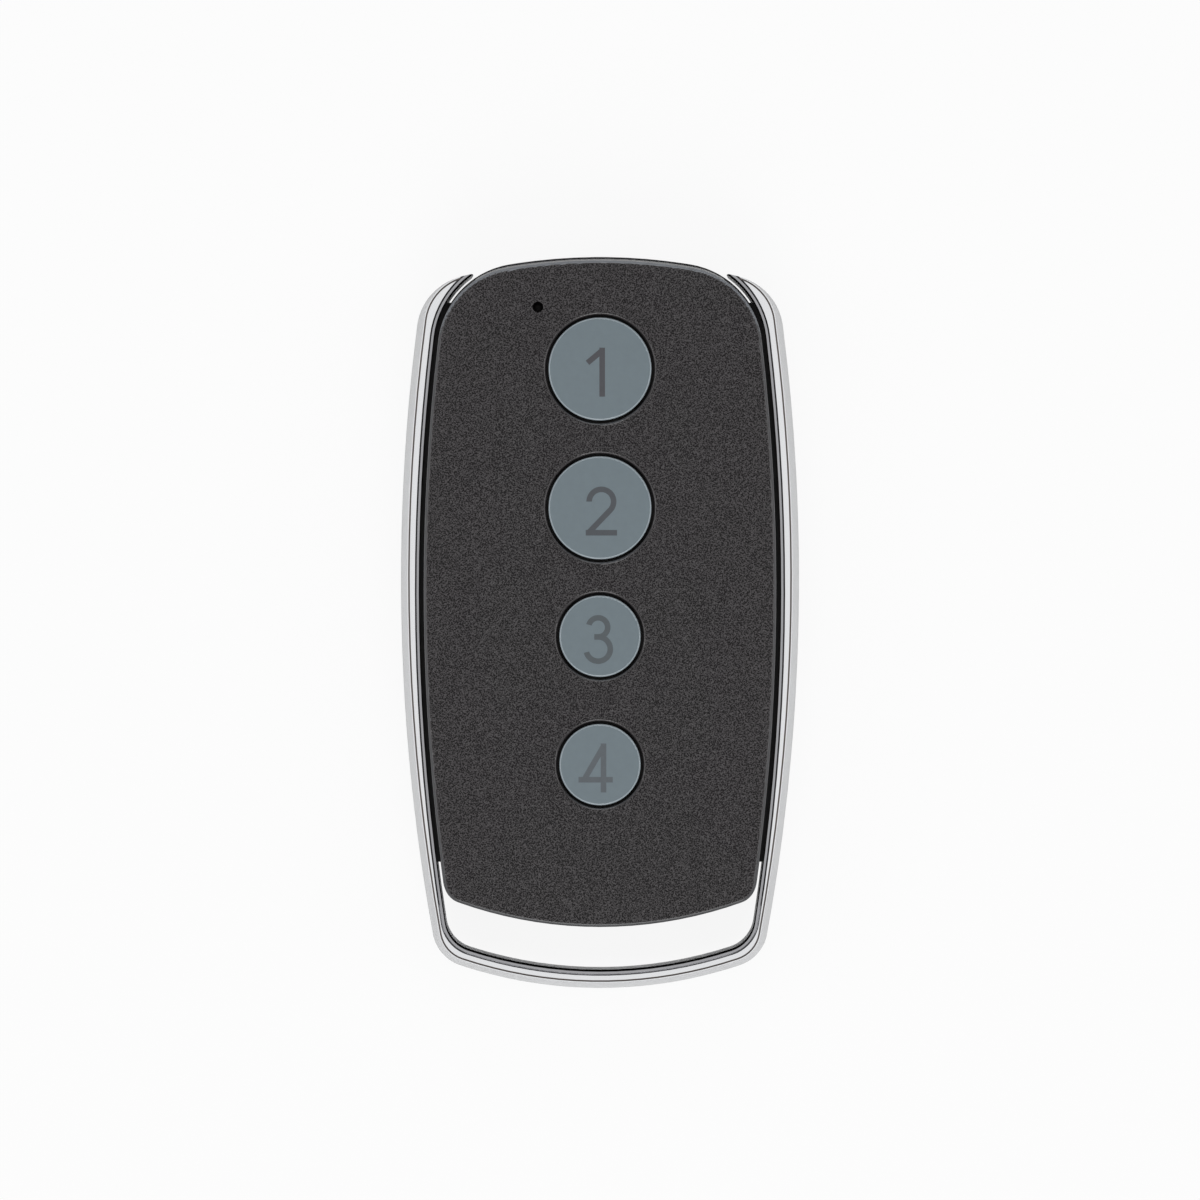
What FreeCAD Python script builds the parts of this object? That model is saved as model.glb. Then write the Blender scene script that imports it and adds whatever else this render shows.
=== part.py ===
import FreeCAD
import Part
import math
import os

# Four-button alarm remote control, lying on its back.
# Millimetres. +X is to the right, +Y towards the nose, +Z out of the front face.
# The origin is in the middle of the bottom of the object's box.

# Case, seen from the front
body_half_width = 16.45
body_widest_y = 3.0
body_top = 34.0
body_bottom = -28.3
side_radius = 198.5
nose_radius = 52.0
tail_radius = 39.0
nose_corner_radius = 8.0
tail_corner_radius = 2.2
smallest_corner_radius = 0.25

# Case, seen from the side
case_height = 12.0
parting_height = 6.0
nose_crest_height = 4.5
front_side_draft = 0.2
front_nose_step = 0.2
front_nose_slope = 0.65
front_edge_radius = 0.35
rear_side_draft = 0.2
rear_nose_slope = 0.6
rear_edge_radius = 1.2
wall = 1.5
front_wall = 1.5
rear_floor = 1.4

# Joint between the two halves of the case
tongue_thickness = 0.57
tongue_height = 0.8
tongue_side_gap = 0.03
tongue_end_gap = 0.05

# Chromed frame
frame_side_width = 2.05
frame_widest_y = 4.0
frame_side_radius = 185.0
frame_nose_drop = 0.35
frame_bar_width = 1.7
frame_nose_corner_radius = 5.2
frame_tail_radius = 41.0
frame_tail_corner_radius = 3.8
frame_height = 9.6
frame_edge_inset = 0.7
frame_nose_inset = 0.1
frame_body_gap = 0.3
key_ring_slot = 4.0
slot_corner_radius = 3.2
frame_back_bevel = 0.15
frame_back_edge_radius = 0.3
step_width = 0.2
step_depth = 0.25
step_riser_width = 0.15
groove_margin = 0.08
groove_width = 0.15
groove_depth = 0.15

# Rail of the frame and the lips of the case that hold it
rail_height = 0.8
rail_reach = 0.6
rail_bottom_y = -21.5
rail_top_y = 28.9
rail_gap = 0.03
rail_end_gap = 0.2
lip_height = 2.5
lip_overlap = 0.4
lip_margin = 0.7
lip_gap = 0.03

# Keys
large_key_diameter = 9.5
small_key_diameter = 7.5
key_x = 0.0
key_1_y = 23.35
key_2_y = 10.55
key_3_y = -1.29
key_4_y = -13.13
key_gap = 0.27
key_edge_radius = 0.18
key_hole_edge_radius = 0.22
key_proud = 0.1
key_travel = 0.3
key_flange_step = 0.85
key_flange_thickness = 0.8
key_stop_gap = 0.03
key_skin = 1.0
key_wall = 1.0
key_nub_diameter = 2.4
key_tab_width = 1.0
key_tab_reach = 0.5
collar_gap = 0.08
collar_wall = 0.55
collar_margin = 0.47
collar_notch_gap = 0.1

# Digits let into the keys
digit_height = 4.52
digit_stroke = 0.52
digit_depth = 0.15
digit_drop = 0.3
digit_shifts = (-0.34, 0.13, -0.17, -0.4)

# Circuit board
board_thickness = 1.0
board_wall_gap = 0.3

# Case screws, bosses and posts
nose_screw_inset = 7.05
nose_screw_y = 27.6
tail_screw_inset = 5.45
tail_screw_y = -22.8
screw_diameter = 2.0
screw_end_gap = 0.7
screw_head_diameter = 3.4
screw_head_height = 1.2
screw_recess_depth = 1.6
screw_recess_gap = 0.2
screw_slot_width = 0.5
screw_slot_depth = 0.5
screw_slot_length = 2.2
pilot_gap = 0.02
screw_way_gap = 0.12
pilot_end_gap = 0.3
boss_diameter = 3.4
post_diameter = 5.0

# Bare label recess in the back
label_width = 17.0
label_length = 24.0
label_corner_radius = 1.5
label_depth = 0.25
label_y = 2.0

# Tactile switches
switch_width = 5.2
switch_base_height = 1.3
switch_floor = 0.4
switch_well_diameter = 3.5
switch_pad_reach = 0.7
switch_pad_width = 0.7
switch_pad_thickness = 0.15
switch_pad_pitch = 3.7
dome_diameter = 3.2
dome_rise = 0.4
dome_thickness = 0.08
plunger_diameter = 1.8
plunger_flange_diameter = 3.0
plunger_flange_gap = 0.03
plunger_height = 2.6
plunger_hole_gap = 0.05
plate_thickness = 0.2
plate_tab_width = 2.6
plate_tab_length = 0.9

# Coin cell and its contacts
cell_diameter = 20.0
cell_height = 3.2
cell_cap_diameter = 17.4
cell_cap_height = 0.3
cell_edge_radius = 0.3
cell_y = 1.0
contact_thickness = 0.2
contact_diameter = 9.0
clip_thickness = 0.2
clip_floor_gap = 0.2
clip_width = 6.0
clip_side_gap = 0.15
clip_foot = 1.6

# Indicator lamp
lamp_hole_diameter = 1.0
lamp_side_share = 0.348
lamp_y = 29.07
lamp_diameter = 2.0
lamp_flange_diameter = 2.5
lamp_flange_height = 0.5
lamp_roof_gap = 0.3
lamp_lead_width = 0.45
lamp_lead_pitch = 1.27
lamp_lead_length = 1.5
lamp_lead_gap = 0.1

# Chips, resonator, antenna and small parts on the board
encoder_inset = 7.75
encoder_y = 9.0
encoder_width = 3.9
encoder_length = 4.9
encoder_height = 1.5
transmitter_inset = 7.55
transmitter_y = -3.5
transmitter_width = 3.0
transmitter_length = 3.0
transmitter_height = 0.9
chip_lead_count = 4
chip_lead_pitch = 0.65
encoder_lead_pitch = 1.27
chip_lead_reach = 0.9
chip_lead_width = 0.35
chip_lead_thickness = 0.15
chip_lead_height = 0.6
resonator_inset = 7.75
resonator_y = -3.5
resonator_width = 3.8
resonator_length = 5.0
resonator_height = 1.5
resonator_lid_inset = 0.3
resonator_lid_height = 0.3
antenna_inset = 2.2
antenna_width = 0.6
antenna_thickness = 0.5
antenna_bottom_y = 2.0
antenna_left_x = -1.0
chip_part_length = 1.6
chip_part_width = 0.8
capacitor_height = 0.8
resistor_height = 0.45
capacitor_inset = 8.45
capacitor_first_y = 15.5
resistor_inset = 5.65
resistor_first_y = 15.5
chip_part_pitch = 2.2
chip_part_count = 5

# Heights and places that follow from the sizes above
frame_half_width = body_half_width + frame_side_width
frame_top = body_top - frame_nose_drop
frame_bottom = body_bottom - key_ring_slot - frame_bar_width
frame_bottom_height = parting_height - frame_height / 2
frame_top_height = parting_height + frame_height / 2
front_inner_height = case_height - front_wall
cell_bottom = rear_floor + clip_floor_gap + clip_thickness
cell_top = cell_bottom + cell_height
board_bottom_height = cell_top + contact_thickness
board_top_height = board_bottom_height + board_thickness
key_top = case_height + key_proud
flange_top = front_inner_height - key_stop_gap
flange_bottom = flange_top - key_flange_thickness
collar_bottom = flange_bottom - key_travel - collar_margin
plunger_top = board_top_height + plunger_height
nub_bottom = plunger_top + key_stop_gap
screw_top = front_inner_height - screw_end_gap
lamp_top = front_inner_height - lamp_roof_gap
nose_screw_x = body_half_width - nose_screw_inset
tail_screw_x = body_half_width - tail_screw_inset
lamp_x = -lamp_side_share * body_half_width
encoder_x = body_half_width - encoder_inset
transmitter_x = body_half_width - transmitter_inset
resonator_x = resonator_inset - body_half_width
capacitor_x = capacitor_inset - body_half_width
resistor_x = resistor_inset - body_half_width
keys = (
    (key_1_y, large_key_diameter),
    (key_2_y, large_key_diameter),
    (key_3_y, small_key_diameter),
    (key_4_y, small_key_diameter),
)
screw_places = (
    (nose_screw_x, nose_screw_y),
    (-nose_screw_x, nose_screw_y),
    (tail_screw_x, tail_screw_y),
    (-tail_screw_x, tail_screw_y),
)

UP = FreeCAD.Vector(0, 0, 1)
# Length that reaches past the whole object, for tools that cut or keep one part of it
BEYOND = 100.0
TOLERANCE = 0.01


class Outline:
    """A closed outline of eight tangent arcs, the same left and right of X = 0."""

    def __init__(self, half_width, widest_y, top, bottom, side_r, top_r, bottom_r,
                 top_corner, bottom_corner):
        self.half_width = half_width
        self.widest_y = widest_y
        self.top = top
        self.bottom = bottom
        self.side_r = side_r
        self.top_r = top_r
        self.bottom_r = bottom_r
        self.top_corner = top_corner
        self.bottom_corner = bottom_corner

    def grown(self, side, top=None, bottom=None):
        """The outline moved outwards, by its own amount at the sides, the top and the bottom."""
        if top is None:
            top = side
        if bottom is None:
            bottom = side
        return Outline(
            self.half_width + side,
            self.widest_y,
            self.top + top,
            self.bottom - bottom,
            self.side_r + side,
            self.top_r + top,
            self.bottom_r + bottom,
            max(self.top_corner + (side + top) / 2, smallest_corner_radius),
            max(self.bottom_corner + (side + bottom) / 2, smallest_corner_radius),
        )

    def corner(self, end_centre, end_r, corner_r, way):
        """Centre of a corner arc, and where it touches the side arc and the end arc, at the right."""
        side_centre = FreeCAD.Vector(self.half_width - self.side_r, self.widest_y, 0)
        side_reach = self.side_r - corner_r
        end_reach = end_r - corner_r
        between = end_centre - side_centre
        along = (side_reach ** 2 - end_reach ** 2 + between.Length ** 2) / (2 * between.Length)
        across = math.sqrt(side_reach ** 2 - along ** 2)
        unit = between / between.Length
        normal = FreeCAD.Vector(-unit.y, unit.x, 0)
        if normal.y * way < 0:
            normal = normal * -1
        centre = side_centre + unit * along + normal * across
        at_side = side_centre + (centre - side_centre) / side_reach * self.side_r
        at_end = end_centre + (centre - end_centre) / end_reach * end_r
        return centre, at_side, at_end

    def wire(self, height):
        """The outline as a closed wire at one height."""
        top_centre = FreeCAD.Vector(0, self.top - self.top_r, 0)
        bottom_centre = FreeCAD.Vector(0, self.bottom + self.bottom_r, 0)
        top_c, top_side, top_end = self.corner(top_centre, self.top_r, self.top_corner, 1)
        low_c, low_side, low_end = self.corner(bottom_centre, self.bottom_r, self.bottom_corner, -1)
        top_mid = arc_middle(top_c, self.top_corner, top_side, top_end)
        low_mid = arc_middle(low_c, self.bottom_corner, low_side, low_end)
        side_mid = FreeCAD.Vector(self.half_width, self.widest_y, 0)
        arcs = (
            (mirrored(top_end), FreeCAD.Vector(0, self.top, 0), top_end),
            (top_end, top_mid, top_side),
            (top_side, side_mid, low_side),
            (low_side, low_mid, low_end),
            (low_end, FreeCAD.Vector(0, self.bottom, 0), mirrored(low_end)),
            (mirrored(low_end), mirrored(low_mid), mirrored(low_side)),
            (mirrored(low_side), mirrored(side_mid), mirrored(top_side)),
            (mirrored(top_side), mirrored(top_mid), mirrored(top_end)),
        )
        lift = UP * height
        edges = [Part.Arc(a + lift, b + lift, c + lift).toShape() for a, b, c in arcs]
        return Part.Wire(edges)

    def prism(self, low, high):
        """A solid of this outline between two heights."""
        return Part.Face(self.wire(low)).extrude(UP * (high - low))


def mirrored(point):
    return FreeCAD.Vector(-point.x, point.y, point.z)


def arc_middle(centre, radius, first, last):
    """The point half way along an arc of less than half a turn."""
    towards = (first + last) / 2 - centre
    return centre + towards / towards.Length * radius


def cylinder(diameter, low, high, x=0.0, y=0.0):
    return Part.makeCylinder(diameter / 2, high - low, FreeCAD.Vector(x, y, low), UP)


def block(width, length, low, high, x=0.0, y=0.0):
    """A box centred at x, y between two heights."""
    corner = FreeCAD.Vector(x - width / 2, y - length / 2, low)
    return Part.makeBox(width, length, high - low, corner)


def stretch(left, right, near, far, low, high):
    """A box between six limits."""
    return Part.makeBox(right - left, far - near, high - low, FreeCAD.Vector(left, near, low))


def joined(shapes):
    """One solid out of pieces that overlap."""
    result = shapes[0].fuse(list(shapes[1:]))
    return result.removeSplitter()


def flat_edges(shape, height):
    """Edges that lie in the horizontal plane at this height."""
    found = []
    for edge in shape.Edges:
        box = edge.BoundBox
        if abs(box.ZMin - height) < TOLERANCE and abs(box.ZMax - height) < TOLERANCE:
            found.append(edge)
    return found


def save(name, shape):
    shape.exportStep(os.path.join("parts", name + ".step"))


# The outlines that everything else is measured from
body = Outline(
    body_half_width, body_widest_y, body_top, body_bottom,
    side_radius, nose_radius, tail_radius, nose_corner_radius, tail_corner_radius,
)
frame_outer = Outline(
    frame_half_width, frame_widest_y, frame_top, frame_bottom,
    frame_side_radius, nose_radius + frame_top - body_top, frame_tail_radius,
    frame_nose_corner_radius, frame_tail_corner_radius,
)
frame_inner = body.grown(frame_body_gap, frame_body_gap, key_ring_slot)
frame_inner.bottom_corner = slot_corner_radius
frame_inner.bottom_r = tail_radius + frame_body_gap
frame_edge = frame_outer.grown(-frame_edge_inset, -frame_nose_inset, -frame_edge_inset)
cavity = body.grown(-wall)
tongue_outer = cavity.grown(tongue_thickness)


def side_band(outer, inner, low, high, bottom_y, top_y):
    """The two long strips between two outlines, kept between two values of Y."""
    ring = outer.prism(low, high).cut(inner.prism(low, high))
    strips = []
    for left, right in ((-BEYOND, -body_half_width / 2), (body_half_width / 2, BEYOND)):
        strips.append(ring.common(stretch(left, right, bottom_y, top_y, low, high)))
    return strips


def case_lips(low, high):
    """The black strips of a case half that close the gap to the frame along both sides."""
    return side_band(
        body.grown(frame_body_gap - lip_gap), body.grown(-lip_overlap), low, high,
        rail_bottom_y - lip_margin, rail_top_y + lip_margin,
    )


def rail_slots(low, high):
    """What is cut from the lips and walls for the rail of the frame."""
    return side_band(
        body.grown(frame_body_gap), body.grown(-rail_reach - rail_gap), low, high,
        rail_bottom_y - rail_end_gap, rail_top_y + rail_end_gap,
    )


def front_shell():
    """The front half's outer form: drafted sides, a sloped nose and a rounded face edge."""
    low = body.grown(0, -front_nose_step, 0)
    high = body.grown(-front_side_draft, -front_nose_slope, -front_side_draft)
    shell = Part.makeLoft([low.wire(parting_height), high.wire(case_height)], True, True)
    shell = shell.makeFillet(front_edge_radius, flat_edges(shell, case_height))
    openings = [cylinder(lamp_hole_diameter, parting_height, case_height, lamp_x, lamp_y)]
    for y, diameter in keys:
        hole = diameter + 2 * key_gap
        openings.append(cylinder(hole, parting_height, case_height, key_x, y))
    shell = shell.cut(openings)
    rims = []
    for edge in flat_edges(shell, case_height):
        for y, diameter in keys:
            at_hole = abs(edge.Length - math.pi * (diameter + 2 * key_gap)) < TOLERANCE
            if at_hole and abs(edge.CenterOfMass.y - y) < TOLERANCE:
                rims.append(edge)
    return shell.makeFillet(key_hole_edge_radius, rims)


def key_collar(y, diameter):
    """The ring under the front wall that guides a key's flange, notched for its tab."""
    flange = diameter + 2 * key_flange_step
    bore = flange + 2 * collar_gap
    ring = cylinder(bore + 2 * collar_wall, collar_bottom, front_inner_height, key_x, y)
    ring = ring.cut(cylinder(bore, collar_bottom, front_inner_height, key_x, y))
    notch_end = flange / 2 + collar_gap + collar_wall + key_tab_reach
    notch = block(notch_end, key_tab_width + 2 * collar_notch_gap, collar_bottom,
                  front_inner_height, key_x + notch_end / 2, y)
    return ring.cut(notch)


def front_cover():
    rebate_top = parting_height + tongue_height + tongue_end_gap
    rebate = tongue_outer.grown(tongue_side_gap)
    cover = front_shell()
    cover = cover.cut([
        cavity.prism(parting_height, front_inner_height),
        rebate.prism(parting_height, rebate_top),
    ])
    added = case_lips(parting_height, parting_height + lip_height)
    for y, diameter in keys:
        added.append(key_collar(y, diameter))
    boss_top = front_inner_height + front_wall / 2
    for x, y in screw_places:
        added.append(cylinder(boss_diameter, board_top_height, boss_top, x, y))
    cover = joined([cover] + added)
    cuts = rail_slots(parting_height, parting_height + rail_height / 2 + rail_gap)
    for x, y in screw_places:
        pilot_top = screw_top + pilot_end_gap
        cuts.append(cylinder(screw_diameter + 2 * pilot_gap, parting_height, pilot_top, x, y))
    return cover.cut(cuts)


def rear_shell():
    """The rear half's outer form: a bulged nose, drafted sides and a well rounded back edge."""
    wires = []
    for share in (0.0, 0.5, 1.0):
        height = parting_height * share
        side = rear_side_draft * (1 - share) ** 2
        nose = rear_nose_slope * ((height - nose_crest_height) / nose_crest_height) ** 2
        wires.append(body.grown(-side, -nose, -side).wire(height))
    shell = Part.makeLoft(wires, True, False)
    return shell.makeFillet(rear_edge_radius, flat_edges(shell, 0.0))


def label_recess():
    recess = block(label_width, label_length, 0, label_depth, 0, label_y)
    upright = [edge for edge in recess.Edges if edge.BoundBox.ZLength > label_depth / 2]
    return recess.makeFillet(label_corner_radius, upright)


def rear_cover():
    cover = rear_shell().cut(cavity.prism(rear_floor, parting_height))
    tongue_top = parting_height + tongue_height
    tongue = tongue_outer.prism(rear_floor, tongue_top).cut(cavity.prism(rear_floor, tongue_top))
    added = case_lips(parting_height - lip_height, parting_height) + [tongue]
    for x, y in screw_places:
        post = cylinder(post_diameter, rear_floor / 2, board_bottom_height, x, y)
        added.append(post.common(body.grown(-wall / 2).prism(0, case_height)))
    cover = joined([cover] + added)
    cuts = rail_slots(parting_height - rail_height / 2 - rail_gap, parting_height)
    cuts.append(label_recess())
    for x, y in screw_places:
        head = screw_head_diameter + 2 * screw_recess_gap
        cuts.append(cylinder(head, 0, screw_recess_depth, x, y))
        cuts.append(cylinder(screw_diameter + 2 * screw_way_gap, 0, parting_height, x, y))
    return cover.cut(cuts)


def frame_barrel():
    """The frame's outer form, widest at half its height and drawn in towards its two faces."""
    wires = [
        frame_edge.wire(frame_bottom_height),
        frame_outer.wire(parting_height),
        frame_edge.wire(frame_top_height),
    ]
    barrel = Part.makeLoft(wires, True, False)
    return barrel.makeFillet(frame_back_edge_radius, flat_edges(barrel, frame_bottom_height))


def slot_back_bevel():
    """The tool that bevels the frame's inner edge at the back, reaching a bevel's width past it."""
    wires = [
        frame_inner.grown(-frame_back_bevel).wire(frame_bottom_height + 2 * frame_back_bevel),
        frame_inner.grown(2 * frame_back_bevel).wire(frame_bottom_height - frame_back_bevel),
    ]
    return Part.makeLoft(wires, True, True)


def slot_front_step():
    """The tool that steps the frame's inner edge down at the front, behind a steep riser."""
    wires = [
        frame_inner.grown(step_width).wire(frame_top_height - step_depth),
        frame_inner.grown(step_width + 2 * step_riser_width).wire(frame_top_height + step_depth),
    ]
    return Part.makeLoft(wires, True, True)


def edge_groove():
    """The ring that is cut from the frame's front just inside its outer edge."""
    floor = frame_top_height - groove_depth
    outside = frame_edge.grown(-groove_margin)
    inside = frame_edge.grown(-groove_margin - groove_width)
    return outside.prism(floor, case_height).cut(inside.prism(floor, case_height))


def chrome_frame():
    """The U that is left when the slot's outline is taken out of the frame's own outline."""
    ring = frame_barrel().cut(frame_inner.prism(0, case_height))
    for tool in (slot_front_step(), slot_back_bevel(), edge_groove()):
        ring = ring.cut(tool)
    rails = side_band(
        frame_inner.grown(lip_overlap), body.grown(-rail_reach),
        parting_height - rail_height / 2, parting_height + rail_height / 2,
        rail_bottom_y, rail_top_y,
    )
    return joined([ring] + rails)


def bar(x0, y0, x1, y1):
    """A straight stroke of a digit, square at both ends."""
    along = FreeCAD.Vector(x1 - x0, y1 - y0, 0)
    side = FreeCAD.Vector(-along.y, along.x, 0) / along.Length * (digit_stroke / 2)
    start = FreeCAD.Vector(x0, y0, 0)
    end = FreeCAD.Vector(x1, y1, 0)
    corners = [start + side, end + side, end - side, start - side, start + side]
    return Part.Face(Part.makePolygon(corners)).extrude(UP * digit_depth)


def bend(x, y, radius, start, end):
    """A stroke of a digit along an arc, from one angle in degrees to a larger one."""
    centre = FreeCAD.Vector(x, y, 0)
    outer = radius + digit_stroke / 2
    inner = radius - digit_stroke / 2
    ring = Part.makeCylinder(outer, digit_depth, centre, UP, end - start)
    ring = ring.cut(Part.makeCylinder(inner, digit_depth, centre, UP))
    ring.rotate(centre, UP, start)
    return ring


def digit_strokes(number):
    """The strokes of a digit, about the middle of its height."""
    half = digit_height / 2
    edge = half - digit_stroke / 2
    if number == 1:
        stem = digit_height * 0.12
        return [
            bar(stem, -half, stem, half),
            bar(stem, edge, stem - digit_height * 0.3, digit_height * 0.19),
        ]
    if number == 2:
        bowl = digit_height * 0.25
        bowl_y = edge - bowl
        turn = math.radians(-43)
        foot = digit_height * 0.32
        return [
            bend(0, bowl_y, bowl, -43, 180),
            bar(bowl * math.cos(turn), bowl_y + bowl * math.sin(turn), -foot + digit_stroke / 2, -edge),
            bar(-foot, -edge, foot, -edge),
        ]
    if number == 3:
        upper = digit_height * 0.195
        waist = edge - 2 * upper
        return [
            bend(0, edge - upper, upper, -90, 165),
            bend(0, (waist - edge) / 2, (waist + edge) / 2, -165, 90),
            bar(-digit_height * 0.08, waist, digit_stroke / 2, waist),
        ]
    stem = digit_height * 0.16
    cross = -digit_height * 0.24
    reach = digit_height * 0.35
    return [
        bar(stem, -half, stem, half),
        bar(-reach, cross, reach, cross),
        bar(stem, edge, -reach + digit_stroke, cross),
    ]


def legend(number, y):
    """A digit as a thin solid whose top is flush with the top of its key."""
    digit = joined(digit_strokes(number))
    x = key_x + digit_shifts[number - 1]
    digit.translate(FreeCAD.Vector(x, y - digit_drop, key_top - digit_depth))
    return digit


def button(y, diameter, digit):
    """A key: cap, retaining flange with its tab, cored skirt and the nub that meets the switch."""
    flange = diameter + 2 * key_flange_step
    cap = cylinder(diameter, flange_bottom, key_top, key_x, y)
    cap = cap.makeFillet(key_edge_radius, flat_edges(cap, key_top))
    tab_end = flange / 2 + key_tab_reach
    tab = block(tab_end, key_tab_width, flange_bottom, flange_top, key_x + tab_end / 2, y)
    key = joined([cap, cylinder(flange, flange_bottom, flange_top, key_x, y), tab])
    core = cylinder(diameter - 2 * key_wall, flange_bottom, key_top - key_skin, key_x, y)
    key = key.cut(core)
    nub = cylinder(key_nub_diameter, nub_bottom, key_top - key_skin / 2, key_x, y)
    return joined([key, nub]).cut(digit)


def switch_base(y):
    low = board_top_height
    top = low + switch_base_height
    base = block(switch_width, switch_width, low, top, key_x, y)
    base = base.cut(cylinder(switch_well_diameter, low + switch_floor, top, key_x, y))
    pads = []
    for side in (-1, 1):
        for end in (-1, 1):
            pads.append(block(
                switch_pad_reach * 2, switch_pad_width, low, low + switch_pad_thickness,
                key_x + side * switch_width / 2, y + end * switch_pad_pitch / 2,
            ))
    return joined([base] + pads)


def dome_foot():
    return board_top_height + switch_floor


def switch_dome(y):
    """A thin sprung cap, part of a sphere, that stands on the floor of the switch's well."""
    foot = dome_foot()
    half = dome_diameter / 2
    radius = (half ** 2 + dome_rise ** 2) / (2 * dome_rise)
    centre = FreeCAD.Vector(key_x, y, foot + dome_rise - radius)
    shell = Part.makeSphere(radius + dome_thickness, centre).cut(Part.makeSphere(radius, centre))
    return shell.common(cylinder(dome_diameter, foot, foot + dome_rise + 1, key_x, y))


def switch_plunger(y):
    flange_low = dome_foot() + dome_rise + dome_thickness + plunger_flange_gap
    flange_high = board_top_height + switch_base_height - plunger_flange_gap
    flange = cylinder(plunger_flange_diameter, flange_low, flange_high, key_x, y)
    return joined([flange, cylinder(plunger_diameter, flange_low, plunger_top, key_x, y)])


def switch_plate(y):
    """The metal cover of a switch, with a tab folded down each side of its base."""
    low = board_top_height + switch_base_height
    high = low + plate_thickness
    outer = switch_width + 2 * plate_thickness
    plate = block(outer, switch_width, low, high, key_x, y)
    plate = plate.cut(cylinder(plunger_diameter + 2 * plunger_hole_gap, low, high, key_x, y))
    tabs = []
    for side in (-1, 1):
        x = key_x + side * (switch_width + plate_thickness) / 2
        tabs.append(block(plate_thickness, plate_tab_width, low - plate_tab_length, high, x, y))
    return joined([plate] + tabs)


def lamp_lead_places():
    return ((lamp_x - lamp_lead_pitch / 2, lamp_y), (lamp_x + lamp_lead_pitch / 2, lamp_y))


def circuit_board():
    outline = cavity.grown(-board_wall_gap)
    board = outline.prism(board_bottom_height, board_top_height)
    screw_hole = screw_diameter + 2 * screw_way_gap
    lead_hole = lamp_lead_width * math.sqrt(2) + 2 * lamp_lead_gap
    holes = []
    for x, y in screw_places:
        holes.append(cylinder(screw_hole, board_bottom_height, board_top_height, x, y))
    for x, y in lamp_lead_places():
        holes.append(cylinder(lead_hole, board_bottom_height, board_top_height, x, y))
    return board.cut(holes)


def case_screws():
    """Four pan-head screws that enter from the back and bite in the front half's bosses."""
    screws = []
    for x, y in screw_places:
        head_low = screw_recess_depth - screw_head_height
        head = cylinder(screw_head_diameter, head_low, screw_recess_depth, x, y)
        shank = cylinder(screw_diameter, head_low, screw_top, x, y)
        slot_top = head_low + screw_slot_depth
        slots = [
            block(screw_slot_length, screw_slot_width, head_low, slot_top, x, y),
            block(screw_slot_width, screw_slot_length, head_low, slot_top, x, y),
        ]
        screws.append(joined([head, shank]).cut(slots))
    return Part.makeCompound(screws)


def battery_cell():
    """A coin cell, its smaller negative face up against the board's contact."""
    shoulder = cell_top - cell_cap_height
    can = cylinder(cell_diameter, cell_bottom, shoulder, 0, cell_y)
    can = can.makeFillet(cell_edge_radius, flat_edges(can, cell_bottom) + flat_edges(can, shoulder))
    return joined([can, cylinder(cell_cap_diameter, cell_bottom + cell_edge_radius, cell_top, 0, cell_y)])


def battery_contact():
    return cylinder(contact_diameter, cell_top, board_bottom_height, 0, cell_y)


def battery_clip():
    """A strap under the cell whose legs rise to feet soldered to the board."""
    inner = cell_diameter / 2 + clip_side_gap
    low = cell_bottom - clip_thickness
    strap = block(2 * (inner + clip_thickness), clip_width, low, cell_bottom, 0, cell_y)
    pieces = [strap]
    for side in (-1, 1):
        leg_x = side * (inner + clip_thickness / 2)
        foot_x = side * (inner + clip_foot / 2)
        foot_low = board_bottom_height - clip_thickness
        pieces.append(block(clip_thickness, clip_width, low, board_bottom_height, leg_x, cell_y))
        pieces.append(block(clip_foot, clip_width, foot_low, board_bottom_height, foot_x, cell_y))
    return joined(pieces)


def status_led():
    """A round-topped lamp on two leads through the board."""
    low = board_top_height
    dome_base = lamp_top - lamp_diameter / 2
    pieces = [
        cylinder(lamp_flange_diameter, low, low + lamp_flange_height, lamp_x, lamp_y),
        cylinder(lamp_diameter, low, dome_base, lamp_x, lamp_y),
        Part.makeSphere(lamp_diameter / 2, FreeCAD.Vector(lamp_x, lamp_y, dome_base)),
    ]
    lead_low = board_bottom_height - (lamp_lead_length - board_thickness)
    for x, y in lamp_lead_places():
        pieces.append(block(lamp_lead_width, lamp_lead_width, lead_low, low + lamp_flange_height, x, y))
    return joined(pieces)


def chip(x, y, width, length, height, lead_pitch):
    """A moulded chip with a row of bent leads along each long side."""
    low = board_top_height
    gap = chip_lead_thickness
    pieces = [block(width, length, low + gap, low + height, x, y)]
    for side in (-1, 1):
        for index in range(chip_lead_count):
            lead_y = y + (index - (chip_lead_count - 1) / 2) * lead_pitch
            root_x = x + side * (width / 2 + chip_lead_reach / 4)
            foot_x = x + side * (width / 2 + chip_lead_reach * 3 / 4)
            drop_x = x + side * (width / 2 + chip_lead_reach / 2)
            half_reach = chip_lead_reach / 2 + chip_lead_thickness
            root_low = low + chip_lead_height
            root_high = root_low + chip_lead_thickness
            pieces.append(block(half_reach, chip_lead_width, root_low, root_high, root_x, lead_y))
            pieces.append(block(chip_lead_thickness, chip_lead_width, low, root_high, drop_x, lead_y))
            pieces.append(block(half_reach, chip_lead_width, low, low + gap, foot_x, lead_y))
    return joined(pieces)


def saw_resonator():
    """A ceramic body with a smaller metal lid."""
    top = board_top_height + resonator_height
    body_top_height = top - resonator_lid_height
    base = block(resonator_width, resonator_length, board_top_height, body_top_height,
                 resonator_x, resonator_y)
    lid = block(resonator_width - 2 * resonator_lid_inset, resonator_length - 2 * resonator_lid_inset,
                body_top_height - resonator_lid_height, top, resonator_x, resonator_y)
    return joined([base, lid])


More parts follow.
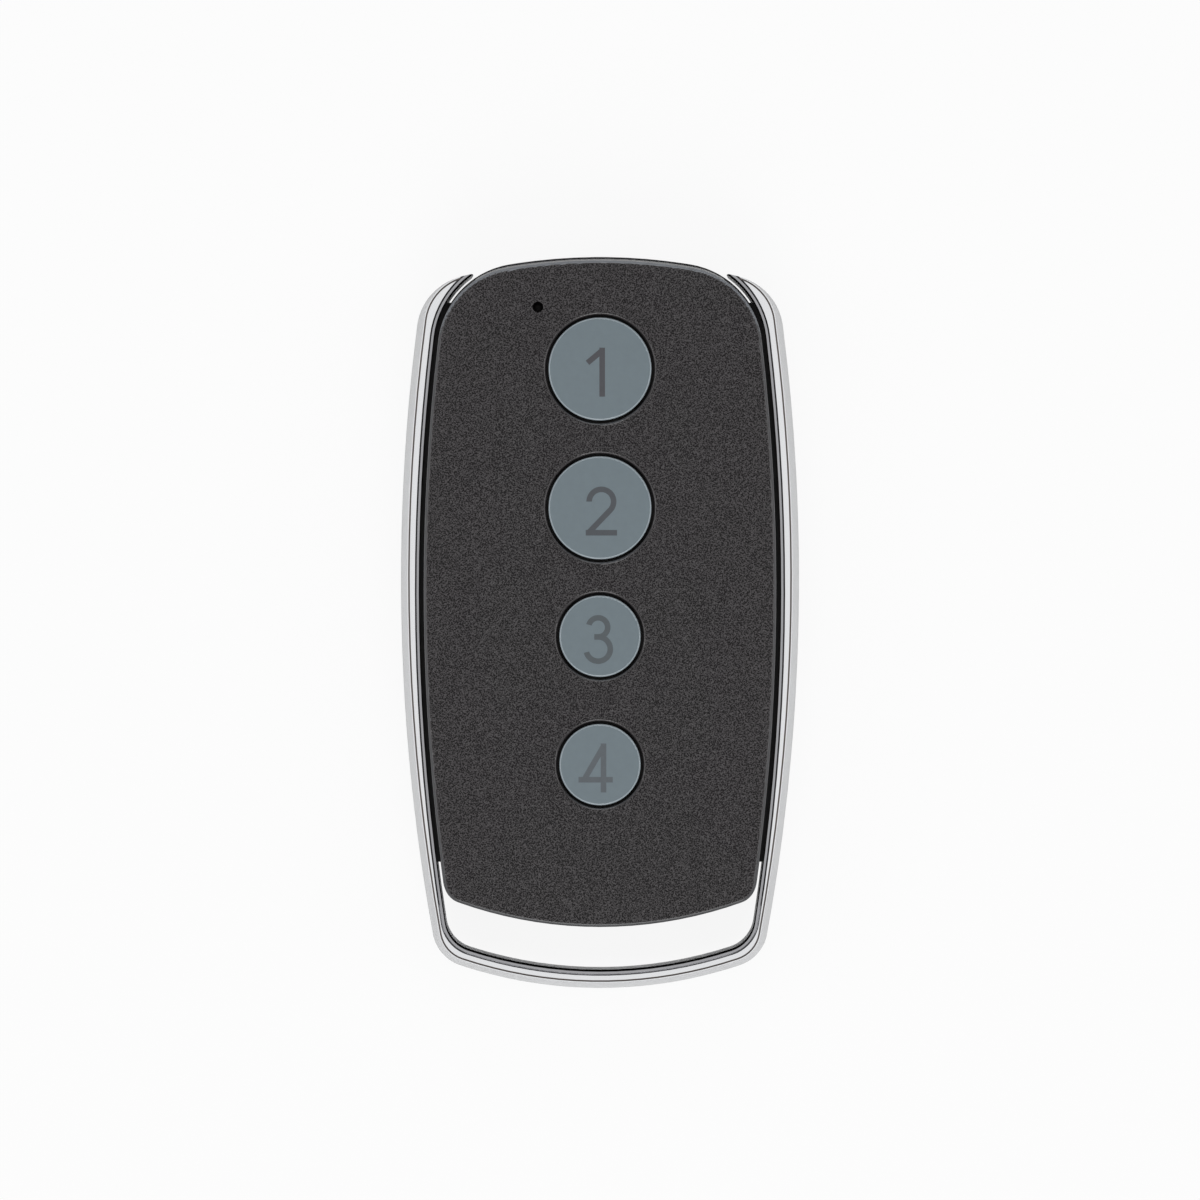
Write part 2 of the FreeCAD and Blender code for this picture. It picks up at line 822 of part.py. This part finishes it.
def antenna():
    """A metal strip that follows the board's edge from the nose down the right side."""
    low = board_top_height
    high = low + antenna_thickness
    outer = body.grown(-antenna_inset).prism(low, high)
    band = outer.cut(body.grown(-antenna_inset - antenna_width).prism(low, high))
    return band.common(stretch(antenna_left_x, BEYOND, antenna_bottom_y, BEYOND, low, high))


def chip_parts(x, first_y, height):
    """A column of small two-ended parts that stand on the board."""
    parts = []
    low = board_top_height
    for index in range(chip_part_count):
        y = first_y - index * chip_part_pitch
        parts.append(block(chip_part_length, chip_part_width, low, low + height, x, y))
    return Part.makeCompound(parts)


def build():
    os.makedirs("parts", exist_ok=True)
    save("front_cover", front_cover())
    save("rear_cover", rear_cover())
    save("chrome_frame", chrome_frame())
    save("circuit_board", circuit_board())
    for number, (y, diameter) in enumerate(keys, start=1):
        digit = legend(number, y)
        save("legend_%d" % number, digit)
        save("button_%d" % number, button(y, diameter, digit))
        save("switch_base_%d" % number, switch_base(y))
        save("switch_dome_%d" % number, switch_dome(y))
        save("switch_plunger_%d" % number, switch_plunger(y))
        save("switch_plate_%d" % number, switch_plate(y))
    save("case_screws", case_screws())
    save("battery_cell", battery_cell())
    save("battery_contact", battery_contact())
    save("battery_clip", battery_clip())
    save("status_led", status_led())
    save("controller_chip", chip(
        encoder_x, encoder_y, encoder_width, encoder_length, encoder_height, encoder_lead_pitch))
    save("rf_chip", chip(
        transmitter_x, transmitter_y, transmitter_width, transmitter_length, transmitter_height,
        chip_lead_pitch))
    save("saw_resonator", saw_resonator())
    save("antenna", antenna())
    save("chip_capacitors", chip_parts(capacitor_x, capacitor_first_y, capacitor_height))
    save("chip_resistors", chip_parts(resistor_x, resistor_first_y, resistor_height))


build()
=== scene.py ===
import bmesh
import bpy
import math
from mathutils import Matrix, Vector


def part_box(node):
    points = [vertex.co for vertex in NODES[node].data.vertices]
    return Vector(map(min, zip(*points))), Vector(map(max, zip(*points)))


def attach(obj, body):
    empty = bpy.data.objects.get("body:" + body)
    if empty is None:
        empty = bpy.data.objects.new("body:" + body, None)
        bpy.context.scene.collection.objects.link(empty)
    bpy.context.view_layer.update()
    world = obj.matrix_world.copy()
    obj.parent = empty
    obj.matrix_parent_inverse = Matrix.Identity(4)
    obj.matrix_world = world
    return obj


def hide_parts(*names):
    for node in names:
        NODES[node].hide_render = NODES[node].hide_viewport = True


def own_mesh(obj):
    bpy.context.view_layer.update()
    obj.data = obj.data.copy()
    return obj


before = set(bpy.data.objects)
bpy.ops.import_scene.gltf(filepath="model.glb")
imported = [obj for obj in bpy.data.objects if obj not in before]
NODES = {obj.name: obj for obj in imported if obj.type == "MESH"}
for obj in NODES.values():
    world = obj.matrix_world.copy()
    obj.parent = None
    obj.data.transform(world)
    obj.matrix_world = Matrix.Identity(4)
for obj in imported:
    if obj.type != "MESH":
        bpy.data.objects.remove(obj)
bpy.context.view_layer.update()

MM = 0.001
NUMBERS = (1, 2, 3, 4)

# Camera, as the photograph was taken: from straight above, nose up
CAMERA_HEIGHT = 700 * MM
CAMERA_Y = 2.05 * MM
CAMERA_SENSOR = 36.0
CAMERA_LENS = 223.9

# Colours, as they are written in a picture file
CASE_COLOUR = (34, 32, 33)
# Painted light on the case's faces that turn towards the nose
CASE_NOSE_PAINTED_LIGHT = (74, 76, 79)
# Painted highlight on the case's rounded front edge
CASE_EDGE_HIGHLIGHT_COLOUR = (60, 60, 62)
# Painted highlight on the rounded edge of the case's nose
NOSE_EDGE_HIGHLIGHT_COLOUR = (104, 107, 112)
KEY_COLOUR = (91, 103, 109)
INK_COLOURS = ((54, 54, 59), (56, 60, 65), (63, 70, 74), (70, 76, 81))
# Painted highlight on the keys' rounded top edges
KEY_EDGE_HIGHLIGHT_COLOUR = (138, 148, 154)
SHADE_COLOUR = (8, 8, 9)
CHROME_COLOUR = (228, 229, 231)
# Painted shade on the frame's step
STEP_SHADE_COLOUR = (160, 160, 163)
# Painted shade in the frame's groove
GROOVE_SHADE_COLOUR = (88, 80, 76)
SCREW_COLOUR = (170, 170, 172)
CELL_COLOUR = (190, 190, 188)
NICKEL_COLOUR = (188, 184, 174)
BOARD_COLOUR = (38, 84, 52)
CHIP_COLOUR = (32, 32, 34)
PLUNGER_COLOUR = (217, 214, 206)
# The status lamp, darkened: partly its own dark red, partly painted shade in its hole
LAMP_SHADED_COLOUR = (14, 8, 8)
CAPACITOR_COLOUR = (150, 122, 92)
RESISTOR_COLOUR = (40, 40, 42)
FLOOR_COLOUR = (205, 205, 205)

# Turn of every noise, in radians, so that no flat face lies in one of its planes, where it fades
NOISE_TURN = (0.6, 0.4, 0.25)

# The range that nearly all of a noise's values lie in
NOISE_SPREAD = (0.3, 0.7)

# The floor glows white to the camera, and to what mirrors it from further off than FLOOR_NEAR
FLOOR_SIZE = 4.0
FLOOR_GLOW = 0.9
FLOOR_NEAR = 60 * MM

# Brightness of the studio by the height of the direction, from the horizon at 0 to overhead at 1
WORLD_RAMP = ((0.0, 0.9), (0.12, 0.8), (0.22, 0.25), (0.85, 0.2), (0.94, 0.88), (1.0, 0.94))

# Soft lamps round the object: name, place and power
LAMP_SIZE = 0.5
AREA_LIGHTS = (
    ("nose_light", (0.0, 0.55, 0.6), 1.6),
    ("tail_light", (0.0, -0.55, 0.6), 3.6),
    ("left_light", (-0.55, 0.0, 0.6), 1.6),
    ("right_light", (0.55, 0.0, 0.6), 1.6),
)

# Where the frame's parts lie, in line with the sizes of its solid
FRAME_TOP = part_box("chrome_frame")[1].z
GROOVE_DEPTH = 0.15 * MM
STEP_DEPTH = 0.25 * MM
# Height above which the frame's inner wall is painted black, as shade
WALL_SHADE_ABOVE = 6.5 * MM
LIP_TOP = 8.5 * MM

# Faces count as lying at a level of the frame when they are this near to it
LEVEL_REACH = 0.02 * MM

# How far up a face's normal points: more than this on a level face, less than this on a rounded edge
LEVEL_NORMAL = 0.99
ROUNDED_NORMAL = 0.97

# The case's rounded front edge
CASE_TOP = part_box("front_cover")[1].z
CASE_EDGE_RADIUS = 0.35 * MM

# Where the keys and their holes lie; a key's box is as wide as its hidden flange
KEY_BOXES = [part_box("button_%d" % number) for number in NUMBERS]
KEY_TOP = KEY_BOXES[0][1].z
KEY_EDGE_RADIUS = 0.18 * MM
HOLE_RIM_REACH = 0.35 * MM
FLANGE_PAST_HOLE = 0.5 * MM
KEY_HOLE_CLEAR = 1.0 * MM

# The switches' domed discs
DISC_THICKNESS = 0.08 * MM
DISC_RINGS = 8
DISC_SECTORS = 48


def linear(colour):
    """A picture file's colour, 0 to 255, as the linear values that a shader takes."""
    values = []
    for part in colour:
        share = part / 255
        values.append(share / 12.92 if share <= 0.04045 else ((share + 0.055) / 1.055) ** 2.4)
    return (*values, 1.0)


class Finish:
    """A procedural material that is built up node by node on a Principled shader."""

    def __init__(self, name, colour, roughness, metallic=0.0):
        self.material = bpy.data.materials.new(name)
        self.material.use_nodes = True
        self.tree = self.material.node_tree
        self.shader = self.tree.nodes["Principled BSDF"]
        self.colour = linear(colour)
        self.shader.inputs["Base Color"].default_value = self.colour
        self.shader.inputs["Roughness"].default_value = roughness
        self.shader.inputs["Metallic"].default_value = metallic
        self.place = self.tree.nodes.new("ShaderNodeTexCoord").outputs["Object"]
        askew = self.tree.nodes.new("ShaderNodeMapping")
        askew.inputs["Rotation"].default_value = NOISE_TURN
        self.join(self.place, askew.inputs["Vector"])
        self.askew = askew.outputs["Vector"]

    def node(self, kind, **settings):
        made = self.tree.nodes.new(kind)
        for key, value in settings.items():
            setattr(made, key, value)
        return made

    def join(self, source, target):
        self.tree.links.new(source, target)

    def noise(self, size, detail=2.0, rough=0.5):
        """Noise whose lumps are about this many metres apart."""
        made = self.node("ShaderNodeTexNoise")
        made.inputs["Scale"].default_value = 1 / size
        made.inputs["Detail"].default_value = detail
        made.inputs["Roughness"].default_value = rough
        self.join(self.askew, made.inputs["Vector"])
        return made.outputs["Fac"]

    def remap(self, value, low, high, new_low, new_high):
        """Stretches the range low to high to a new range, and holds its ends."""
        made = self.node("ShaderNodeMapRange")
        limits = {"From Min": low, "From Max": high, "To Min": new_low, "To Max": new_high}
        for name, number in limits.items():
            made.inputs[name].default_value = number
        self.join(value, made.inputs["Value"])
        return made.outputs["Result"]

    def math(self, operation, a, b):
        made = self.node("ShaderNodeMath", operation=operation)
        for socket, value in zip(made.inputs, (a, b)):
            if isinstance(value, (int, float)):
                socket.default_value = value
            else:
                self.join(value, socket)
        return made.outputs["Value"]

    def tint(self, amount, dark, light):
        """Base colour between two brightnesses of the finish's own colour."""
        mix = self.node("ShaderNodeMix", data_type="RGBA")
        mix.inputs["A"].default_value = [part * dark for part in self.colour[:3]] + [1.0]
        mix.inputs["B"].default_value = [part * light for part in self.colour[:3]] + [1.0]
        self.join(amount, mix.inputs["Factor"])
        self.join(mix.outputs["Result"], self.shader.inputs["Base Color"])

    def mottle(self, noise, dark, light):
        """Noise as brightnesses of the finish's own colour."""
        self.tint(self.remap(noise, *NOISE_SPREAD, 0.0, 1.0), dark, light)

    def blend(self, colour, amount):
        """Blends the tinted base colour towards another one."""
        mix = self.node("ShaderNodeMix", data_type="RGBA")
        base = self.shader.inputs["Base Color"]
        self.join(base.links[0].from_socket, mix.inputs["A"])
        mix.inputs["B"].default_value = linear(colour)
        self.join(amount, mix.inputs["Factor"])
        self.join(mix.outputs["Result"], base)

    def vary_roughness(self, noise, low, high):
        self.join(self.remap(noise, *NOISE_SPREAD, low, high), self.shader.inputs["Roughness"])

    def bump(self, height, depth):
        """Bump whose full range is this many metres deep."""
        made = self.node("ShaderNodeBump")
        made.inputs["Strength"].default_value = 1.0
        made.inputs["Distance"].default_value = depth
        self.join(height, made.inputs["Height"])
        self.join(made.outputs["Normal"], self.shader.inputs["Normal"])

    def facing(self, axis):
        """How far the surface faces along an axis, from -1 to 1."""
        split = self.node("ShaderNodeSeparateXYZ")
        self.join(self.node("ShaderNodeNewGeometry").outputs["Normal"], split.inputs["Vector"])
        return split.outputs[axis]

    def facing_up(self):
        """One on surfaces that face the front or the back of the object, nought on its sides."""
        return self.remap(self.math("ABSOLUTE", self.facing("Z"), 0.0), 0.9, 0.99, 0.0, 1.0)


def grained_plastic():
    """Black moulded plastic: a fine leathery grain on its two broad faces, whose tint is partly the grain's
    own tone and partly painted shade in its pits and painted highlight on its peaks. Its sides are smoother
    and painted paler as a sheen, and faces that turn towards the nose get painted light.
    """
    finish = Finish("grained_plastic", CASE_COLOUR, 0.5)
    broad = finish.facing_up()
    grain = finish.remap(finish.noise(0.12 * MM, 0.0), 0.33, 0.67, 0.0, 1.0)
    finish.bump(finish.math("MULTIPLY", grain, broad), 0.05 * MM)
    # Painted sheen: the sides take the palest tint of the grain's range
    grain = finish.math("MAXIMUM", grain, finish.math("SUBTRACT", 1.0, broad))
    finish.join(finish.remap(broad, 0.0, 1.0, 0.2, 0.4), finish.shader.inputs["Roughness"])
    finish.join(finish.remap(broad, 0.0, 1.0, 1.6, 1.45), finish.shader.inputs["IOR"])
    finish.join(finish.remap(grain, 0.0, 1.0, 0.15, 0.55), finish.shader.inputs["Specular IOR Level"])
    # The grain's tint is partly the grain's own tone and partly painted shade in its pits and painted
    # highlight on its peaks
    finish.tint(grain, 0.45, 2.3)
    # Painted light: faces that turn towards the nose are blended towards a paler grey, as if lit from that
    # side
    finish.blend(CASE_NOSE_PAINTED_LIGHT, finish.remap(finish.facing("Y"), 0.3, 0.8, 0.0, 1.0))
    return finish.material


def key_plastic(name, colour, roughness):
    """Blue-grey key plastic with a faint mottle."""
    finish = Finish(name, colour, roughness)
    finish.mottle(finish.noise(0.7 * MM, 3.0, 0.6), 0.97, 1.03)
    finish.bump(finish.noise(0.25 * MM, 2.0), 0.006 * MM)
    return finish.material


def digit_ink(number):
    """Worn dark ink, fainter from one key to the next."""
    finish = Finish("digit_ink_%d" % number, INK_COLOURS[number - 1], 0.5)
    finish.mottle(finish.noise(0.5 * MM, 3.0), 0.95, 1.05)
    return finish.material


def satin_chrome(name, colour):
    """Plated plastic: bright, with the slight waviness and clouding of plating."""
    finish = Finish(name, colour, 0.16, metallic=1.0)
    finish.vary_roughness(finish.noise(2.5 * MM, 3.0), 0.12, 0.2)
    finish.bump(finish.noise(1.2 * MM, 2.0), 0.002 * MM)
    return finish.material


# Painted shade: the groove's floor and walls get a dark brownish grey in place of chrome
def groove_shade():
    finish = Finish("groove_shade", GROOVE_SHADE_COLOUR, 0.5)
    finish.bump(finish.noise(0.2 * MM, 2.0), 0.01 * MM)
    return finish.material


def wall_inside():
    """The frame's inner wall: chrome lower down, and painted shade higher up, where it fades to black and has
    no gloss.
    """
    finish = Finish("wall_inside", CHROME_COLOUR, 0.2)
    split = finish.node("ShaderNodeSeparateXYZ")
    finish.join(finish.place, split.inputs["Vector"])
    # Painted shade: higher up, the wall fades to black, with no metal and no gloss
    below_painted_shade = finish.remap(split.outputs["Z"], WALL_SHADE_ABOVE, WALL_SHADE_ABOVE - 0.5 * MM, 0.0, 1.0)
    finish.join(below_painted_shade, finish.shader.inputs["Metallic"])
    finish.join(finish.remap(below_painted_shade, 0.0, 1.0, 1.0, 1.45), finish.shader.inputs["IOR"])
    finish.tint(below_painted_shade, 0.01, 1.0)
    return finish.material


def brushed_steel(name, colour, roughness):
    finish = Finish(name, colour, roughness, metallic=1.0)
    finish.vary_roughness(finish.noise(0.8 * MM, 3.0), roughness * 0.8, roughness * 1.2)
    finish.bump(finish.noise(0.15 * MM, 2.0), 0.004 * MM)
    return finish.material


def moulded(name, colour, roughness):
    finish = Finish(name, colour, roughness)
    finish.mottle(finish.noise(1.5 * MM, 3.0), 0.94, 1.06)
    finish.bump(finish.noise(0.12 * MM, 2.0), 0.004 * MM)
    return finish.material


def dress(material, *names):
    """Gives a CAD node's every face this material."""
    for name in names:
        mesh = NODES[name].data
        mesh.materials.clear()
        mesh.materials.append(material)


def paint(material, name, chosen):
    """Gives a second material to the faces of a CAD node that a test of middle and normal chooses."""
    mesh = NODES[name].data
    mesh.materials.append(material)
    for face in mesh.polygons:
        if chosen(face.center, face.normal):
            face.material_index = len(mesh.materials) - 1


def at_level(middle, normal, height):
    return abs(middle.z - height) < LEVEL_REACH and normal.z > LEVEL_NORMAL


def past_nearest_key(middle):
    """How far a point lies outside the nearest key's flange; below nought over it."""
    distances = []
    for low, high in KEY_BOXES:
        away = math.hypot(middle.x, middle.y - (low.y + high.y) / 2)
        distances.append(away - (high.y - low.y) / 2)
    return min(distances)


def in_groove(middle, normal):
    bottom = at_level(middle, normal, FRAME_TOP - GROOVE_DEPTH)
    walls = middle.z > FRAME_TOP - GROOVE_DEPTH and abs(normal.z) < 0.05
    return bottom or walls


def on_step(middle, normal):
    return at_level(middle, normal, FRAME_TOP - STEP_DEPTH)


def on_lip(middle, normal):
    return at_level(middle, normal, LIP_TOP)


def on_case_edge(middle, normal):
    """On the case's rounded front edge, but not on a key hole's."""
    rounded = middle.z > CASE_TOP - CASE_EDGE_RADIUS and 0.1 < normal.z < ROUNDED_NORMAL
    return rounded and past_nearest_key(middle) > KEY_HOLE_CLEAR


def on_nose_edge(middle, normal):
    return on_case_edge(middle, normal) and normal.y > 0.2


def on_inner_wall(middle, normal):
    inwards = normal.x * middle.x + normal.y * middle.y < 0
    return inwards and abs(normal.z) < 0.3 and middle.z < FRAME_TOP - GROOVE_DEPTH


def on_key_edge(middle, normal):
    return middle.z > KEY_TOP - KEY_EDGE_RADIUS and normal.z < ROUNDED_NORMAL


def below_key_edge(middle, normal):
    return middle.z < KEY_TOP - KEY_EDGE_RADIUS


def in_key_hole(middle, normal):
    """On the wall of a key's hole, below its rounded rim."""
    return middle.z < KEY_TOP - HOLE_RIM_REACH and past_nearest_key(middle) < -FLANGE_PAST_HOLE


def cap_skin(mesh, centre, ball, half):
    """One skin of a domed disc: the cap of a ball, as a crown and rings out to the disc's rim."""
    crown = mesh.verts.new(centre + Vector((0, 0, ball)))
    rings = []
    for step in range(1, DISC_RINGS + 1):
        away = half * step / DISC_RINGS
        height = math.sqrt(ball ** 2 - away ** 2)
        ring = []
        for sector in range(DISC_SECTORS):
            turn = 2 * math.pi * sector / DISC_SECTORS
            offset = Vector((away * math.cos(turn), away * math.sin(turn), height))
            ring.append(mesh.verts.new(centre + offset))
        rings.append(ring)
    for sector in range(DISC_SECTORS):
        mesh.faces.new((crown, rings[0][sector], rings[0][sector - 1]))
    return rings


def disc_mesh(name, low, high):
    """A domed disc that fills this box: two skins that are joined at their rims."""
    middle = (low + high) / 2
    half = (high.x - low.x) / 2
    rise = high.z - low.z - DISC_THICKNESS
    radius = (half ** 2 + rise ** 2) / (2 * rise)
    centre = Vector((middle.x, middle.y, low.z + rise - radius))
    mesh = bmesh.new()
    skins = [cap_skin(mesh, centre, ball, half) for ball in (radius, radius + DISC_THICKNESS)]
    bands = [pair for rings in skins for pair in zip(rings, rings[1:])]
    bands.append((skins[0][-1], skins[1][-1]))
    for inner, outer in bands:
        for sector in range(DISC_SECTORS):
            mesh.faces.new((inner[sector - 1], inner[sector], outer[sector], outer[sector - 1]))
    bmesh.ops.recalc_face_normals(mesh, faces=mesh.faces)
    data = bpy.data.meshes.new(name)
    mesh.to_mesh(data)
    mesh.free()
    data.shade_smooth()
    data.set_sharp_from_angle(angle=math.radians(40))
    return data


def snap_disc(number, material):
    """A switch's domed disc, in its solid's place and shape."""
    name = "snap_disc_%d" % number
    node = "switch_dome_%d" % number
    low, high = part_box(node)
    disc = bpy.data.objects.new(name, disc_mesh(name, low, high))
    disc.data.materials.append(material)
    bpy.context.scene.collection.objects.link(disc)
    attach(disc, "root")
    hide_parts(node)
    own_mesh(disc)


def dress_case(shade):
    dress(grained_plastic(), "front_cover", "rear_cover")
    # Painted highlight: the case's rounded front edge gets a paler grey than the case
    paint(moulded("case_edge_highlight", CASE_EDGE_HIGHLIGHT_COLOUR, 0.35), "front_cover", on_case_edge)
    # Painted highlight: the rounded edge at the nose gets a still paler grey
    paint(moulded("nose_edge_highlight", NOSE_EDGE_HIGHLIGHT_COLOUR, 0.35), "front_cover", on_nose_edge)
    paint(shade, "front_cover", in_key_hole)
    paint(shade, "front_cover", on_lip)
    dress(brushed_steel("screw_steel", SCREW_COLOUR, 0.35), "case_screws")


def dress_frame():
    dress(satin_chrome("satin_chrome", CHROME_COLOUR), "chrome_frame")
    # Painted shade: the step below the land gets a darker copy of the chrome
    paint(satin_chrome("step_chrome_shaded", STEP_SHADE_COLOUR), "chrome_frame", on_step)
    paint(groove_shade(), "chrome_frame", in_groove)
    paint(wall_inside(), "chrome_frame", on_inner_wall)


def dress_keys(shade):
    key = key_plastic("key_plastic", KEY_COLOUR, 0.42)
    # Painted highlight: a paler, glossier copy of the key plastic for the keys' rounded top edges
    edge = key_plastic("key_edge_highlight", KEY_EDGE_HIGHLIGHT_COLOUR, 0.28)
    for number in NUMBERS:
        name = "button_%d" % number
        dress(key, name)
        paint(edge, name, on_key_edge)
        paint(shade, name, below_key_edge)
        dress(digit_ink(number), "legend_%d" % number)


def dress_inside():
    dress(brushed_steel("cell_steel", CELL_COLOUR, 0.3), "battery_cell")
    nickel = brushed_steel("nickel", NICKEL_COLOUR, 0.3)
    dress(nickel, "battery_contact", "battery_clip", "antenna", "saw_resonator",
          *["switch_plate_%d" % n for n in NUMBERS], *["switch_dome_%d" % n for n in NUMBERS])
    for number in NUMBERS:
        snap_disc(number, nickel)
    dress(moulded("board_laminate", BOARD_COLOUR, 0.45), "circuit_board")
    dress(moulded("chip_epoxy", CHIP_COLOUR, 0.5), "controller_chip", "rf_chip",
          *["switch_base_%d" % n for n in NUMBERS])
    dress(moulded("plunger_plastic", PLUNGER_COLOUR, 0.45), *["switch_plunger_%d" % n for n in NUMBERS])
    # The status lamp is partly its own dark red and partly painted shade at the bottom of its hole
    dress(moulded("lamp_epoxy_shaded", LAMP_SHADED_COLOUR, 0.6), "status_led")
    dress(moulded("capacitor_ceramic", CAPACITOR_COLOUR, 0.5), "chip_capacitors")
    dress(moulded("resistor_ceramic", RESISTOR_COLOUR, 0.5), "chip_resistors")


def floor_paper():
    """Plain pale paper that keeps the shadow, and glows to the camera and to what mirrors it from afar."""
    finish = Finish("floor_paper", FLOOR_COLOUR, 0.9)
    path = finish.node("ShaderNodeLightPath").outputs
    far = finish.math("GREATER_THAN", path["Ray Length"], FLOOR_NEAR)
    mirrored = finish.math("MULTIPLY", path["Is Glossy Ray"], far)
    seen = finish.math("MAXIMUM", path["Is Camera Ray"], mirrored)
    seen = finish.math("MAXIMUM", seen, path["Is Transmission Ray"])
    mix = finish.node("ShaderNodeMixShader")
    finish.join(finish.math("MULTIPLY", seen, FLOOR_GLOW), mix.inputs["Fac"])
    finish.join(finish.shader.outputs["BSDF"], mix.inputs[1])
    finish.join(finish.node("ShaderNodeEmission").outputs["Emission"], mix.inputs[2])
    finish.join(mix.outputs["Shader"], finish.tree.nodes["Material Output"].inputs["Surface"])
    return finish.material


def floor():
    bpy.ops.mesh.primitive_plane_add(size=FLOOR_SIZE, location=(0, 0, 0))
    plane = bpy.context.object
    plane.name = "floor"
    plane.data.materials.append(floor_paper())


def area_light(name, place, power):
    """A square lamp that shines at the object."""
    data = bpy.data.lights.new(name, "AREA")
    data.energy = power
    data.size = LAMP_SIZE
    lamp = bpy.data.objects.new(name, data)
    lamp.location = place
    lamp.rotation_euler = (-Vector(place)).to_track_quat("-Z", "Y").to_euler()
    bpy.context.scene.collection.objects.link(lamp)


def studio():
    """The world round the object, whose brightness goes by height."""
    world = bpy.data.worlds.new("studio")
    bpy.context.scene.world = world
    world.use_nodes = True
    tree = world.node_tree
    split = tree.nodes.new("ShaderNodeSeparateXYZ")
    tree.links.new(tree.nodes.new("ShaderNodeTexCoord").outputs["Generated"], split.inputs["Vector"])
    ramp = tree.nodes.new("ShaderNodeValToRGB")
    tree.links.new(split.outputs["Z"], ramp.inputs["Fac"])
    while len(ramp.color_ramp.elements) < len(WORLD_RAMP):
        ramp.color_ramp.elements.new(0.5)
    for stop, (height, brightness) in zip(ramp.color_ramp.elements, WORLD_RAMP):
        stop.position = height
        stop.color = (brightness, brightness, brightness, 1.0)
    tree.links.new(ramp.outputs["Color"], tree.nodes["Background"].inputs["Color"])
    tree.nodes["Background"].inputs["Strength"].default_value = 1.0


def camera():
    data = bpy.data.cameras.new("camera")
    data.sensor_width = CAMERA_SENSOR
    data.lens = CAMERA_LENS
    data.dof.use_dof = False
    data.clip_start = 0.01
    eye = bpy.data.objects.new("camera", data)
    eye.location = (0, CAMERA_Y, CAMERA_HEIGHT)
    bpy.context.scene.collection.objects.link(eye)
    bpy.context.scene.camera = eye


bpy.context.scene.view_settings.view_transform = "Standard"
camera()
shade = moulded("shaded_plastic", SHADE_COLOUR, 0.7)
dress_case(shade)
dress_frame()
dress_keys(shade)
dress_inside()
floor()
studio()
for name, place, power in AREA_LIGHTS:
    area_light(name, place, power)
